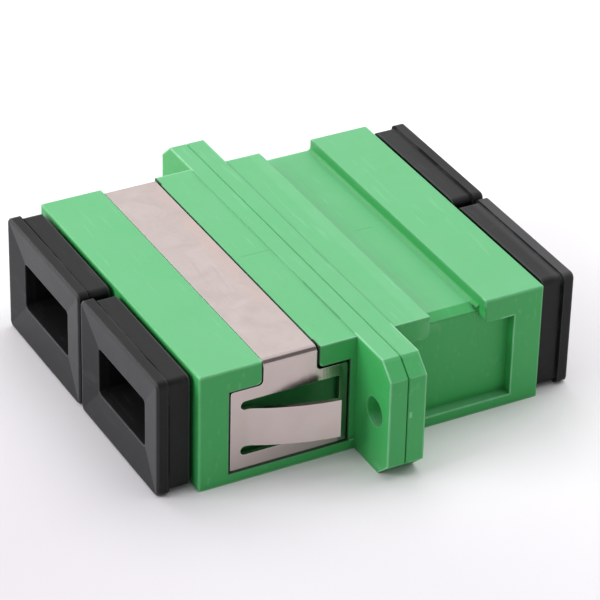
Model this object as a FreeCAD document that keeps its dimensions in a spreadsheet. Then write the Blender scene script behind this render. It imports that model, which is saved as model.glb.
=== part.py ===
"""Duplex SC fibre adapter with a flange, a folded panel clip and four dust caps.

X runs across the two ports, Y along the fibres and Z up. The origin is on the resting face, under the
middle of the flange. The seam between the two welded housing halves is the plane Y = 0. Both halves, and
all that repeats in them, are modelled as the front half (Y below 0) and turned half round for the rear.
Lengths are in millimetres and angles in degrees.
"""

import FreeCAD, Part
import os
import re

import Sketcher

# Driving dimensions. "From the seam" is a distance along Y, "from the middle" one along X.
SIZES = {
    # Housing halves
    "body_width": 26.15,
    "body_length": 27.4,
    "height": 9.4,
    "waist_step": 0.1,  # the body is this much slimmer between the flange and the channel
    "body_edge": 0.15,  # radius of the body's outer edges
    "flange_width": 35.6,
    "flange_thickness": 2.86,  # both halves together
    "ear_corner_across": 1.3,
    "ear_corner_high": 1.2,
    "seam_edge": 0.08,  # small bevel along the weld seam
    "ear_hole_edge": 2.05,  # from the end of the ear to the middle of its hole
    "ear_hole_diameter": 2.2,
    "peg_spacing": 26.2,
    "peg_diameter": 1.2,
    "peg_length": 0.9,
    "peg_clearance": 0.05,
    # Ports
    "port_pitch": 12.7,
    "port_width": 9.05,
    "port_floor": 0.775,  # wall under a port
    "port_roof": 0.225,  # wall between a port and the channel
    "port_lead_in": 0.3,
    "keyway_width": 2.5,
    "keyway_length": 9.6,
    # Bed of the clip
    "channel_start": 4.4,  # from the seam
    "channel_width": 4.45,
    "channel_depth": 0.95,
    "channel_foot": 0.3,  # radius along the foot of its end wall
    "recess_start": 1.95,  # from the seam
    "recess_width": 9.4,
    "recess_depth": 0.85,
    "ledge_height": 0.85,
    "recess_height": 6.7,
    "recess_corner": 0.5,
    "gate_trim": 0.9,  # the slope where the gate was cut off, across
    "gate_trim_drop": 0.25,
    # Panel clip
    "sheet": 0.35,
    "clip_inset": 0.02,  # outer faces of the clip under those of the waist
    "bend_radius": 0.15,
    "clip_gap": 0.14,
    "neck_corner": 0.35,
    "leg_corner": 0.2,
    "slot_width": 0.7,
    "slot_tip": 10.42,  # from the seam
    "slot_start": 2.7,  # from the seam
    "tongue_bottom": 2.7,
    "tongue_height": 3.05,
    "tongue_root": 10.0,  # from the seam
    "tongue_tip": 3.55,  # from the seam
    "tongue_bend": 1.0,
    "tongue_lean": 26.0,
    "tongue_tip_lean": 7.0,
    # Latch inserts
    "seat_shoulder_across": 0.675,  # by how much a seat is wider than its port on each side
    "seat_shoulder_high": 0.375,
    "seat_depth": 1.2,
    "seat_clearance": 0.05,
    "tube_diameter": 4.8,
    "tube_length": 6.4,  # from the seam
    "tube_lip_bore": 2.9,
    "tube_lead_in": 0.25,
    "arm_clearance": 0.3,  # between an arm and the side of its port
    "arm_thickness": 0.8,
    "arm_height": 3.2,
    "arm_length": 8.0,  # from the seam
    "hook_reach": 0.65,
    "hook_length": 1.5,
    # Alignment sleeves
    "sleeve_bore": 2.5,
    "sleeve_wall": 0.35,
    "sleeve_length": 11.4,
    "sleeve_slit": 0.5,
    "sleeve_clearance": 0.05,
    # Dust caps
    "cap_spacing": 0.3,  # between the lips of two caps side by side
    "lip_inset": 0.05,  # of a lip under the top and above the base of the body
    "lip_overhang_across": 0.2,
    "lip_overhang_high": 0.15,
    "block_gap": 0.35,  # between a block and the mouth of its port
    "block_depth": 1.65,
    "block_corner": 0.5,
    "lip_thickness": 0.78,
    "lip_corner": 0.5,
    "lip_bevel": 0.12,
    "dish_rim": 0.15,  # flat land round the dished face
    "dish_depth": 0.25,
    "cap_recess_width": 7.5,
    "cap_recess_height": 3.85,
    "cap_recess_corner": 0.35,
    "cap_floor": 0.9,
    "plug_length": 4.4,
    "plug_relief": 0.13,  # between the plug and the port
    "plug_rib": 0.07,
    "plug_rib_width": 0.6,
    "plug_rib_spacing": 5.4,
    "plug_corner": 0.5,
    "plug_lead_in": 0.35,
}

# Named results of the driving dimensions, each an expression on the names above.
RULES = {
    "half_body": "body_length / 2",
    "half_flange": "flange_thickness / 2",
    "waist_top": "height - waist_step",
    "waist_side": "body_width / 2 - waist_step",
    "middle_height": "height / 2",
    "ear_hole_place": "flange_width / 2 - ear_hole_edge",
    "channel_floor": "height - channel_depth",
    "port_height": "channel_floor - port_roof - port_floor",
    "port_axis": "port_floor + port_height / 2",
    "recess_face": "body_width / 2 - recess_depth",
    "recess_roof": "ledge_height + recess_height",
    "recess_end": "recess_start + recess_width",
    "channel_end": "channel_start + channel_width",
    "clip_top": "waist_top - clip_inset",
    "clip_face": "waist_side - clip_inset",
    "leg_start": "recess_start + clip_gap",
    "leg_end": "recess_end - clip_gap",
    "leg_top": "recess_roof - clip_gap",
    "strip_start": "channel_start + clip_gap",
    "strip_end": "channel_end - clip_gap",
    "tongue_top": "tongue_bottom + tongue_height",
    "slot_floor": "tongue_bottom - slot_width",
    "slot_roof": "tongue_top + slot_width",
    "bend_out": "clip_face + tongue_bend",
    "bend_rise": "tongue_bend * sin(tongue_lean)",
    "sweep_rise": "sin(tongue_lean) - sin(tongue_tip_lean)",
    "sweep_radius": "(tongue_root - tongue_tip - bend_rise) / sweep_rise",
    "sweep_reach": "tongue_bend + sweep_radius",
    "sweep_inner": "sweep_radius - sheet",
    "bend_inner": "tongue_bend + sheet",
    "seat_width": "port_width + 2 * seat_shoulder_across",
    "seat_height": "port_height + 2 * seat_shoulder_high",
    "plate_thickness": "seat_depth - seat_clearance",
    "arm_outside": "port_width / 2 - arm_clearance",
    "arm_inside": "arm_outside - arm_thickness",
    "hook_edge": "arm_inside - hook_reach",
    "hook_back": "arm_length - hook_length",
    "sleeve_outer": "sleeve_bore / 2 + sleeve_wall",
    "holder_bore": "sleeve_outer + sleeve_clearance",
    "holder_depth": "sleeve_length / 2 + sleeve_clearance",
    "block_start": "half_body + block_gap",
    "lip_start": "block_start + block_depth",
    "lip_width": "port_pitch - cap_spacing",
    "lip_height": "height - 2 * lip_inset",
    "block_width": "lip_width - 2 * lip_overhang_across",
    "block_height": "lip_height - 2 * lip_overhang_high",
    "lip_edge": "lip_start + lip_thickness",
    "cap_face": "lip_edge + lip_bevel",
    "face_width": "lip_width - 2 * lip_bevel",
    "face_height": "lip_height - 2 * lip_bevel",
    "plug_end": "half_body - plug_length",
    "plug_width": "port_width - 2 * plug_relief",
    "plug_height": "port_height - 2 * plug_relief",
    "recess_drop": "plug_end + cap_floor",
}

TINY = 1e-4

doc = FreeCAD.newDocument("sc_duplex_adapter")
sheet = doc.addObject("Spreadsheet::Sheet", "sizes")
for row, (alias, size) in enumerate(SIZES.items(), start=1):
    sheet.set(f"A{row}", alias)
    sheet.set(f"B{row}", str(size))
    sheet.setAlias(f"B{row}", alias)
doc.recompute()


def formula(text):
    """Turn an expression on size and rule names into one on the sheet's cells."""

    def spell(match):
        word = match.group()
        if word in RULES:
            return f"({formula(RULES[word])})"
        return f"sizes.{word}" if word in SIZES else word

    return re.sub(r"[a-z]\w*", spell, text)


def value(text):
    """The number that an expression on the names gives."""
    return float(sheet.evalExpression(formula(text)))


def origin_plane(body, role):
    return next(item for item in body.Origin.OriginFeatures if item.Role == role)


def new_sketch(body, name, role, offset="0"):
    """A sketch on an origin plane of its body, moved along that plane's normal."""
    sketch = body.newObject("Sketcher::SketchObject", name)
    sketch.AttachmentSupport = [(origin_plane(body, role), "")]
    sketch.MapMode = "FlatFace"
    sketch.setExpression("AttachmentOffset.Base.z", formula(offset))
    return sketch


def drive(sketch, rows):
    """Add constraints. A row is (kind, places) or (kind, places, expression), which then drives it."""
    made = [Sketcher.Constraint(kind, *where, *map(value, text)) for kind, where, *text in rows]
    for index, (_, _, *text) in zip(sketch.addConstraint(made), rows):
        if text:
            sketch.setExpression(f"Constraints[{index}]", formula(text[0]))


def arc_between(start, end, radius, turn):
    """The short arc between two points. turn is 1 where its centre is on the left of the way, else -1."""
    chord = end - start
    middle = (start + end) / 2
    left = FreeCAD.Vector(-chord.y, chord.x, 0).normalize()
    rise = max(radius**2 - (chord.Length / 2) ** 2, 0) ** 0.5
    centre = middle + left * (rise * turn)
    first, last = (start, end) if turn > 0 else (end, start)
    angles = []
    for point in (first, last):
        spoke = point - centre
        angles.append(FreeCAD.Vector(1, 0, 0).getAngle(spoke) * (1 if spoke.y >= 0 else -1))
    circle = Part.Circle(centre, FreeCAD.Vector(0, 0, 1), radius)
    return Part.ArcOfCircle(circle, angles[0], angles[1])


def outline(sketch, corners):
    """Draw one closed outline. A corner is (x, y), or (x, y, radius, turn) where an arc leads to it."""
    points = [FreeCAD.Vector(value(corner[0]), value(corner[1]), 0) for corner in corners]
    ends = []
    rows = []
    for index, corner in enumerate(corners):
        start, end = points[index - 1], points[index]
        if len(corner) == 2:
            edge = sketch.addGeometry(Part.LineSegment(start, end))
            ends.append((edge, 1, 2))
            continue
        radius, turn = corner[2:]
        edge = sketch.addGeometry(arc_between(start, end, value(radius), turn))
        ends.append((edge, 1, 2) if turn > 0 else (edge, 2, 1))
        rows.append(("Radius", (edge,), radius))
    for index, (edge, _, last) in enumerate(ends):
        follower, first, _ = ends[(index + 1) % len(ends)]
        rows.append(("Coincident", (edge, last, follower, first)))
        rows.append(("DistanceX", (edge, last), corners[index][0]))
        rows.append(("DistanceY", (edge, last), corners[index][1]))
    drive(sketch, rows)


def rectangle(sketch, left, right, bottom, top):
    outline(sketch, [(left, bottom), (right, bottom), (right, top), (left, top)])


def centred_box(sketch, middle_x, middle_y, width, depth):
    rectangle(
        sketch,
        f"{middle_x} - ({width}) / 2",
        f"{middle_x} + ({width}) / 2",
        f"{middle_y} - ({depth}) / 2",
        f"{middle_y} + ({depth}) / 2",
    )


def rounded_box(sketch, middle_y, width, depth, radius):
    """A rectangle with rounded corners, centred on the sketch's upright axis."""
    radius = f"({radius})"
    left, right = f"-({width}) / 2", f"({width}) / 2"
    bottom, top = f"{middle_y} - ({depth}) / 2", f"{middle_y} + ({depth}) / 2"
    outline(
        sketch,
        [
            (f"{right} - {radius}", bottom),
            (right, f"{bottom} + {radius}", radius, 1),
            (right, f"{top} - {radius}"),
            (f"{right} - {radius}", top, radius, 1),
            (f"{left} + {radius}", top),
            (left, f"{top} - {radius}", radius, 1),
            (left, f"{bottom} + {radius}"),
            (f"{left} + {radius}", bottom, radius, 1),
        ],
    )


def circle(sketch, x, y, radius):
    centre = FreeCAD.Vector(value(x), value(y), 0)
    ring = sketch.addGeometry(Part.Circle(centre, FreeCAD.Vector(0, 0, 1), value(radius)))
    rows = [("DistanceX", (ring, 3), x), ("DistanceY", (ring, 3), y), ("Radius", (ring,), radius)]
    drive(sketch, rows)


def extrude(body, kind, name, sketch, length=None, reverse=False, both_ways=False):
    """Pad or pocket a sketch. A pocket with no length goes right through."""
    feature = body.newObject(f"PartDesign::{kind}", name)
    feature.Profile = sketch
    feature.Reversed = reverse
    if both_ways:
        feature.SideType = "Symmetric"
    if length is None:
        feature.Type = "ThroughAll"
    else:
        feature.setExpression("Length", formula(length))
    doc.recompute()
    return feature


def pad(body, name, sketch, length, **how):
    return extrude(body, "Pad", name, sketch, length, **how)


def pocket(body, name, sketch, length=None, **how):
    return extrude(body, "Pocket", name, sketch, length, **how)


def mirror_across(body, name, feature):
    """Repeat a feature on the other side of the plane X = 0."""
    copy = body.newObject("PartDesign::Mirrored", name)
    copy.Originals = [feature]
    copy.MirrorPlane = (origin_plane(body, "YZ_Plane"), [""])
    body.Tip = copy
    doc.recompute()
    return copy


def edges_where(feature, test):
    """Names of the feature's edges whose two ends and middle all pass the test."""
    names = []
    for number, edge in enumerate(feature.Shape.Edges, start=1):
        middle = edge.valueAt((edge.FirstParameter + edge.LastParameter) / 2)
        points = [vertex.Point for vertex in edge.Vertexes] + [middle]
        if all(test(point) for point in points):
            names.append(f"Edge{number}")
    return names


def dress(body, kind, name, feature, test, size):
    """Fillet or chamfer the edges that pass the test."""
    result = body.newObject(f"PartDesign::{kind}", name)
    result.Base = (feature, edges_where(feature, test))
    result.setExpression("Radius" if kind == "Fillet" else "Size", formula(size))
    doc.recompute()
    return result


def near(first, second):
    return abs(first - second) < TINY


def new_body(label):
    body = doc.addObject("PartDesign::Body", label)
    body.Label = label
    return body


def place(body, x="0", turned=False):
    """Move a finished body along X and, for the rear half, turn it half round about Z."""
    body.Placement = FreeCAD.Placement(FreeCAD.Vector(), FreeCAD.Rotation(180 if turned else 0, 0, 0))
    body.setExpression("Placement.Base.x", formula(x))


def housing(label, turned):
    """One moulded half: body, half flange, ports, clip bed, keyways, ear holes and weld pegs."""
    body = new_body(label)
    mouth = -value("half_body")
    block_profile = new_sketch(body, "BlockProfile", "XZ_Plane")
    rectangle(block_profile, "-body_width / 2", "body_width / 2", "0", "height")
    pad(body, "Block", block_profile, "half_body")
    waist = new_sketch(body, "WaistProfile", "XZ_Plane", "half_flange")
    outline(
        waist,
        [
            ("-body_width", "ledge_height"),
            ("-waist_side", "ledge_height"),
            ("-waist_side", "waist_top"),
            ("waist_side", "waist_top"),
            ("waist_side", "ledge_height"),
            ("body_width", "ledge_height"),
            ("body_width", "2 * height"),
            ("-body_width", "2 * height"),
        ],
    )
    pocket(body, "Waist", waist, "channel_start - half_flange", reverse=True)

    flange_profile = new_sketch(body, "FlangeProfile", "XZ_Plane")
    across, shoulder = "flange_width / 2", "flange_width / 2 - ear_corner_across"
    outline(
        flange_profile,
        [
            (f"-({shoulder})", "0"),
            (shoulder, "0"),
            (across, "ear_corner_high"),
            (across, "height - ear_corner_high"),
            (shoulder, "height"),
            (f"-({shoulder})", "height"),
            (f"-({across})", "height - ear_corner_high"),
            (f"-({across})", "ear_corner_high"),
        ],
    )
    flange = pad(body, "Flange", flange_profile, "half_flange")
    seam = dress(body, "Chamfer", "SeamEdge", flange, lambda p: near(p.y, 0), "seam_edge")

    side, top = value("body_width / 2"), value("height")

    def outer_edge(p):
        along = near(abs(p.x), side) and near(p.z, top)
        return near(p.y, mouth) or along

    rounded = dress(body, "Fillet", "BodyEdges", seam, outer_edge, "body_edge")

    channel = new_sketch(body, "ChannelProfile", "YZ_Plane")
    rectangle(channel, "-channel_end", "-channel_start", "channel_floor", "height + channel_depth")
    cut = pocket(body, "Channel", channel, both_ways=True)

    foot = -value("channel_end")
    floored = dress(
        body,
        "Fillet",
        "ChannelFoot",
        cut,
        lambda p: near(p.y, foot) and near(p.z, value("channel_floor")),
        "channel_foot",
    )

    # Beds of the clip's legs. The rear half keeps one neck closed, where no clip passes.
    open_bed = [
        ("-recess_end", "ledge_height"),
        ("-recess_start", "ledge_height"),
        ("-recess_start", "recess_roof"),
        ("-channel_start + recess_corner", "recess_roof"),
        ("-channel_start", "recess_roof + recess_corner", "recess_corner", -1),
        ("-channel_start", "height"),
        ("-channel_end", "height"),
        ("-channel_end", "recess_roof + recess_corner"),
        ("-channel_end - recess_corner", "recess_roof", "recess_corner", -1),
        ("-recess_end", "recess_roof"),
    ]
    closed_bed = open_bed[:3] + open_bed[-1:]
    right = new_sketch(body, "RightBedProfile", "YZ_Plane", "recess_face")
    outline(right, closed_bed if turned else open_bed)
    pocket(body, "RightBed", right, reverse=True)
    left = new_sketch(body, "LeftBedProfile", "YZ_Plane", "-recess_face")
    outline(left, open_bed)
    beds = pocket(body, "LeftBed", left)

    trim = new_sketch(body, "GateTrimProfile", "XZ_Plane", "channel_start")
    outline(
        trim,
        [
            ("-recess_face - gate_trim", "channel_floor - 2 * gate_trim_drop"),
            ("-recess_face + gate_trim", "channel_floor"),
            ("-recess_face - gate_trim", "channel_floor"),
        ],
    )
    pocket(body, "GateTrim", trim, "channel_width", reverse=True)

    ports = new_sketch(body, "PortProfiles", "XZ_Plane", "half_body")
    seats = new_sketch(body, "SeatProfiles", "XZ_Plane")
    keyways = new_sketch(body, "KeywayProfiles", "XZ_Plane", "half_body")
    for middle in ("-port_pitch / 2", "port_pitch / 2"):
        centred_box(ports, middle, "port_axis", "port_width", "port_height")
        centred_box(seats, middle, "port_axis", "seat_width", "seat_height")
        left, right = f"{middle} - keyway_width / 2", f"{middle} + keyway_width / 2"
        rectangle(keyways, left, right, "-port_floor", "port_axis")
    bored = pocket(body, "Ports", ports)
    reach = value("port_pitch / 2 + port_width / 2") + TINY
    low, high = value("port_floor") - TINY, value("port_floor + port_height") + TINY

    def mouth_edge(p):
        return near(p.y, mouth) and abs(p.x) < reach and low < p.z < high

    led_in = dress(body, "Chamfer", "PortLeadIns", bored, mouth_edge, "port_lead_in")
    pocket(body, "InsertSeats", seats, "seat_depth", reverse=True)
    pocket(body, "Keyways", keyways, "keyway_length")

    holes = new_sketch(body, "EarHoleProfiles", "XZ_Plane")
    for middle in ("-ear_hole_place", "ear_hole_place"):
        circle(holes, middle, "middle_height", "ear_hole_diameter / 2")
    pocket(body, "EarHoles", holes, reverse=True)

    peg = new_sketch(body, "PegProfile", "XZ_Plane")
    circle(peg, "peg_spacing / 2", "middle_height", "peg_diameter / 2")
    pad(body, "Peg", peg, "peg_length", reverse=True)
    socket = new_sketch(body, "SocketProfile", "XZ_Plane")
    circle(socket, "-peg_spacing / 2", "middle_height", "peg_diameter / 2 + peg_clearance")
    pocket(body, "Socket", socket, "peg_length + 2 * peg_clearance", reverse=True)
    place(body, turned=turned)
    return body


def panel_clip():
    """Spring sheet folded over the body, with a U-slot in each leg that frees a tongue bent outwards."""
    body = new_body("panel_clip")
    fold = new_sketch(body, "FoldProfile", "XZ_Plane", "leg_start")
    inner, under = "clip_face - sheet", "clip_top - sheet"
    outline(
        fold,
        [
            ("-clip_face", "ledge_height"),
            (f"-({inner})", "ledge_height"),
            (f"-({inner})", f"{under} - bend_radius"),
            (f"-({inner} - bend_radius)", under, "bend_radius", -1),
            (f"{inner} - bend_radius", under),
            (inner, f"{under} - bend_radius", "bend_radius", -1),
            (inner, "ledge_height"),
            ("clip_face", "ledge_height"),
            ("clip_face", f"{under} - bend_radius"),
            (f"{inner} - bend_radius", "clip_top", "bend_radius + sheet", 1),
            (f"-({inner} - bend_radius)", "clip_top"),
            ("-clip_face", f"{under} - bend_radius", "bend_radius + sheet", 1),
        ],
    )
    pad(body, "Fold", fold, "leg_end - leg_start")

    shoulders = new_sketch(body, "ShoulderProfiles", "YZ_Plane")
    beyond = "clip_top + sheet"
    outline(
        shoulders,
        [
            ("-leg_start + sheet", "leg_top"),
            ("-leg_start + sheet", beyond),
            ("-strip_start", beyond),
            ("-strip_start", "leg_top + neck_corner"),
            ("-strip_start + neck_corner", "leg_top", "neck_corner", 1),
        ],
    )
    outline(
        shoulders,
        [
            ("-strip_end", beyond),
            ("-leg_end - sheet", beyond),
            ("-leg_end - sheet", "leg_top"),
            ("-strip_end - neck_corner", "leg_top"),
            ("-strip_end", "leg_top + neck_corner", "neck_corner", 1),
        ],
    )
    cut = pocket(body, "Shoulders", shoulders, both_ways=True)

    start, end = -value("leg_start"), -value("leg_end")
    bottom, top = value("ledge_height"), value("leg_top")

    def leg_corner(p):
        return (near(p.y, start) or near(p.y, end)) and (near(p.z, bottom) or near(p.z, top))

    dress(body, "Fillet", "LegCorners", cut, leg_corner, "leg_corner")

    slots = new_sketch(body, "SlotProfile", "YZ_Plane")
    half, straight = "slot_width / 2", "-slot_tip + slot_width / 2"
    outline(
        slots,
        [
            ("-tongue_root", "tongue_bottom"),
            (straight, "tongue_bottom"),
            ("-slot_tip", f"tongue_bottom - {half}", half, 1),
            (straight, "slot_floor", half, 1),
            ("-slot_start", "slot_floor"),
            ("-slot_start", "slot_roof"),
            (straight, "slot_roof"),
            ("-slot_tip", f"tongue_top + {half}", half, 1),
            (straight, "tongue_top", half, 1),
            ("-tongue_root", "tongue_top"),
        ],
    )
    pocket(body, "Slots", slots, both_ways=True)

    # The tongue's outer face is two arcs: the bend at its root, and a long sweep that curves back.
    lean, tip = "tongue_lean", "tongue_tip_lean"
    sweep_x = f"bend_out - (sweep_reach) * cos({lean})"
    sweep_y = f"-tongue_root + (sweep_reach) * sin({lean})"
    tongue = new_sketch(body, "TongueProfile", "XY_Plane", "tongue_bottom")
    outline(
        tongue,
        [
            ("clip_face - sheet", "-slot_tip - sheet"),
            ("clip_face", "-slot_tip - sheet"),
            ("clip_face", "-tongue_root"),
            (f"bend_out - tongue_bend * cos({lean})", "-tongue_root + bend_rise", "tongue_bend", -1),
            (
                f"{sweep_x} + sweep_radius * cos({tip})",
                f"{sweep_y} - sweep_radius * sin({tip})",
                "sweep_radius",
                1,
            ),
            (f"{sweep_x} + sweep_inner * cos({tip})", f"{sweep_y} - sweep_inner * sin({tip})"),
            (
                f"bend_out - bend_inner * cos({lean})",
                f"-tongue_root + bend_inner * sin({lean})",
                "sweep_inner",
                -1,
            ),
            ("clip_face - sheet", "-tongue_root", "bend_inner", 1),
        ],
    )
    bent = pad(body, "Tongue", tongue, "tongue_height")
    mirror_across(body, "Tongues", bent)
    place(body)
    return body


def latch_insert(label, x, turned):
    """Plate held at the seam, tube for half of the sleeve, and a hooked arm on each side."""
    body = new_body(label)
    plate = new_sketch(body, "PlateProfile", "XZ_Plane")
    fit = "2 * seat_clearance"
    centred_box(plate, "0", "port_axis", f"seat_width - {fit}", f"seat_height - {fit}")
    pad(body, "Plate", plate, "plate_thickness")
    tube = new_sketch(body, "TubeProfile", "XZ_Plane")
    circle(tube, "0", "port_axis", "tube_diameter / 2")
    pad(body, "Tube", tube, "tube_length")
    bore = new_sketch(body, "BoreProfile", "XZ_Plane")
    circle(bore, "0", "port_axis", "holder_bore")
    pocket(body, "SleeveBore", bore, "holder_depth", reverse=True)
    lip = new_sketch(body, "LipBoreProfile", "XZ_Plane")
    circle(lip, "0", "port_axis", "tube_lip_bore / 2")
    lipped = pocket(body, "LipBore", lip, reverse=True)
    tip = -value("tube_length")
    dress(body, "Chamfer", "TubeLeadIns", lipped, lambda p: near(p.y, tip), "tube_lead_in")

    arm = new_sketch(body, "ArmProfile", "XY_Plane", "port_axis")
    outline(
        arm,
        [
            ("arm_inside", "-plate_thickness / 2"),
            ("arm_outside", "-plate_thickness / 2"),
            ("arm_outside", "-arm_length"),
            ("arm_inside", "-arm_length"),
            ("hook_edge", "-(arm_length + hook_back) / 2"),
            ("hook_edge", "-hook_back - hook_length / 5"),
            ("arm_inside", "-hook_back"),
        ],
    )
    hooked = pad(body, "Arm", arm, "arm_height", both_ways=True)
    mirror_across(body, "Arms", hooked)
    place(body, x, turned)
    return body


def alignment_sleeve(label, x):
    """Slit tube that grips the two ferrules end to end."""
    body = new_body(label)
    ring = new_sketch(body, "RingProfile", "XZ_Plane")
    circle(ring, "0", "port_axis", "sleeve_outer")
    circle(ring, "0", "port_axis", "sleeve_bore / 2")
    pad(body, "Ring", ring, "sleeve_length", both_ways=True)
    slit = new_sketch(body, "SlitProfile", "XY_Plane", "port_axis")
    centred_box(slit, "0", "0", "sleeve_slit", "sleeve_length + sleeve_slit")
    pocket(body, "Slit", slit, "sleeve_outer + sleeve_wall", reverse=True)
    place(body, x)
    return body


def dust_cap(label, x, turned):
    """Hollow plug with grip ribs, block against the mouth, and a wider lip with a dished face."""
    body = new_body(label)
    plug = new_sketch(body, "PlugProfile", "XZ_Plane", "plug_end")
    rounded_box(plug, "port_axis", "plug_width", "plug_height", "plug_corner")
    plain = pad(body, "Plug", plug, "plug_length + block_gap")
    end = -value("plug_end")
    dress(body, "Chamfer", "PlugLeadIn", plain, lambda p: near(p.y, end), "plug_lead_in")
    ribs = new_sketch(body, "RibProfiles", "XZ_Plane", "plug_end + 2 * plug_lead_in")
    ribbed_width, ribbed_height = "plug_width + 2 * plug_rib", "plug_height + 2 * plug_rib"
    for middle in ("-plug_rib_spacing / 2", "plug_rib_spacing / 2"):
        centred_box(ribs, middle, "port_axis", "plug_rib_width", ribbed_height)
    pad(body, "UprightRibs", ribs, "plug_length - 2 * plug_lead_in")
    level_rib = new_sketch(body, "LevelRibProfile", "XZ_Plane", "plug_end + 2 * plug_lead_in")
    centred_box(level_rib, "0", "port_axis", ribbed_width, "plug_rib_width")
    pad(body, "LevelRibs", level_rib, "plug_length - 2 * plug_lead_in")

    block = new_sketch(body, "BlockProfile", "XZ_Plane", "block_start")
    rounded_box(block, "middle_height", "block_width", "block_height", "block_corner")
    pad(body, "Block", block, "block_depth")
    lip = new_sketch(body, "LipProfile", "XZ_Plane", "lip_start")
    rounded_box(lip, "middle_height", "lip_width", "lip_height", "lip_corner")
    front = pad(body, "Lip", lip, "lip_thickness + lip_bevel")
    face = -value("cap_face")
    dress(body, "Chamfer", "LipBevel", front, lambda p: near(p.y, face), "lip_bevel")

    # The face is dished, from a flat rim down to the mouth of the recess.
    rim = new_sketch(body, "DishRim", "XZ_Plane", "cap_face")
    centred_box(rim, "0", "middle_height", "face_width - 2 * dish_rim", "face_height - 2 * dish_rim")
    mouth = new_sketch(body, "DishMouth", "XZ_Plane", "cap_face - dish_depth")
    centred_box(mouth, "0", "middle_height", "cap_recess_width", "cap_recess_height")
    doc.recompute()
    dish = body.newObject("PartDesign::SubtractiveLoft", "Dish")
    dish.Profile = rim
    dish.Sections = [mouth]
    dish.Ruled = True
    doc.recompute()

    hollow = new_sketch(body, "HollowProfile", "XZ_Plane", "cap_face")
    rounded_box(hollow, "middle_height", "cap_recess_width", "cap_recess_height", "cap_recess_corner")
    pocket(body, "Hollow", hollow, "cap_face - recess_drop")
    place(body, x, turned)
    return body


def build():
    bodies = [housing("front_housing", False), housing("rear_housing", True), panel_clip()]
    sides = (("left", "-port_pitch / 2"), ("right", "port_pitch / 2"))
    for side, x in sides:
        bodies.append(alignment_sleeve(f"alignment_sleeve_{side}", x))
        for end, turned in (("front", False), ("rear", True)):
            bodies.append(latch_insert(f"latch_insert_{end}_{side}", x, turned))
            bodies.append(dust_cap(f"dust_cap_{end}_{side}", x, turned))
    return bodies


def check_and_write(bodies):
    doc.recompute()
    for item in doc.Objects:
        if "Invalid" in item.State or "Error" in item.State:
            raise RuntimeError(f"{item.Name} of {item.TypeId} failed: {item.State}")
    os.makedirs("parts", exist_ok=True)
    for body in bodies:
        shape = body.Shape
        if shape.isNull() or not shape.isValid() or len(shape.Solids) != 1:
            raise RuntimeError(f"{body.Label} is not one valid solid")
        shape.exportStep(f"parts/{body.Label}.step")
        box = shape.BoundBox
        spans = " ".join(
            f"{low:.2f}..{high:.2f}"
            for low, high in ((box.XMin, box.XMax), (box.YMin, box.YMax), (box.ZMin, box.ZMax))
        )
        print(f"{body.Label:28s} {shape.Volume:9.2f} mm3  {spans}")


check_and_write(build())
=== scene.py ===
# A duplex SC fibre adapter: two green moulded housing halves welded back to
# back, a folded steel panel clip, four latch inserts on two ceramic sleeves,
# and a black dust cap in each of the four ports. Lengths are in metres.
import math

import bpy
from mathutils import Matrix, Vector

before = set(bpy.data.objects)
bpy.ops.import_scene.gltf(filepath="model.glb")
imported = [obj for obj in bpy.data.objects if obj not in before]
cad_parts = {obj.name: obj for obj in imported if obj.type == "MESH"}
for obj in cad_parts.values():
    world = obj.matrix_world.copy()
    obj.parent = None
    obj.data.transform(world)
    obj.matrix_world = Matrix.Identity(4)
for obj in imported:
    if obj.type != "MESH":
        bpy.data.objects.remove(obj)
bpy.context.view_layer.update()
bpy.ops.object.select_all(action="DESELECT")

# ---------------------------------------------------------------- camera ---
# A camera on a stand, looking down at the near corner of the adapter from
# the right of its front end, through a long lens that hardly narrows with depth.
MM = 0.001
CAMERA_AZIMUTH = math.radians(61.201)
CAMERA_HEIGHT_ANGLE = math.radians(31.883)
CAMERA_TILT = math.radians(1.44)
CAMERA_DISTANCE = 236.422 * MM
CAMERA_AIM = Vector((0.0, 0.0, 4.7 * MM))
CAMERA_OFFSET = (0.973 * MM, -0.066 * MM)
LENS_LENGTH = 194.05
LENS_SENSOR_WIDTH = 36.0
NEAREST_SEEN = 10 * MM

camera_back = Vector((
    math.sin(CAMERA_AZIMUTH) * math.cos(CAMERA_HEIGHT_ANGLE),
    -math.cos(CAMERA_AZIMUTH) * math.cos(CAMERA_HEIGHT_ANGLE),
    math.sin(CAMERA_HEIGHT_ANGLE),
))
level_right = (-camera_back).cross(Vector((0, 0, 1))).normalized()
level_up = level_right.cross(-camera_back)
camera_right = math.cos(CAMERA_TILT) * level_right + math.sin(CAMERA_TILT) * level_up
camera_up = -math.sin(CAMERA_TILT) * level_right + math.cos(CAMERA_TILT) * level_up
camera_place = (
    CAMERA_AIM
    + camera_back * CAMERA_DISTANCE
    + camera_right * CAMERA_OFFSET[0]
    + camera_up * CAMERA_OFFSET[1]
)
camera_turn = Matrix((camera_right, camera_up, camera_back)).transposed()

camera_data = bpy.data.cameras.new("camera")
camera_data.lens = LENS_LENGTH
camera_data.sensor_width = LENS_SENSOR_WIDTH
camera_data.clip_start = NEAREST_SEEN
camera = bpy.data.objects.new("camera", camera_data)
camera.matrix_world = Matrix.Translation(camera_place) @ camera_turn.to_4x4()
bpy.context.scene.collection.objects.link(camera)
bpy.context.scene.camera = camera
bpy.context.scene.view_settings.view_transform = "Standard"

# ----------------------------------------------------------------- table ---
# A wide sheet of matt white card that the adapter lies on. Its colour fades from
# white behind the adapter to a pale lavender grey in front of it, as painted shade.
TABLE_SIZE = 2.4
TABLE_WHITE = (0.90, 0.885, 0.90, 1)
TABLE_SHADE_GREY = (0.66, 0.635, 0.67, 1)
TABLE_ROUGHNESS = 0.9
FADE_TURN = math.radians(-28)
FADE_GREY_END = -45 * MM
FADE_WHITE_END = 30 * MM
WHOLE = (0.0, 1.0)


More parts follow.
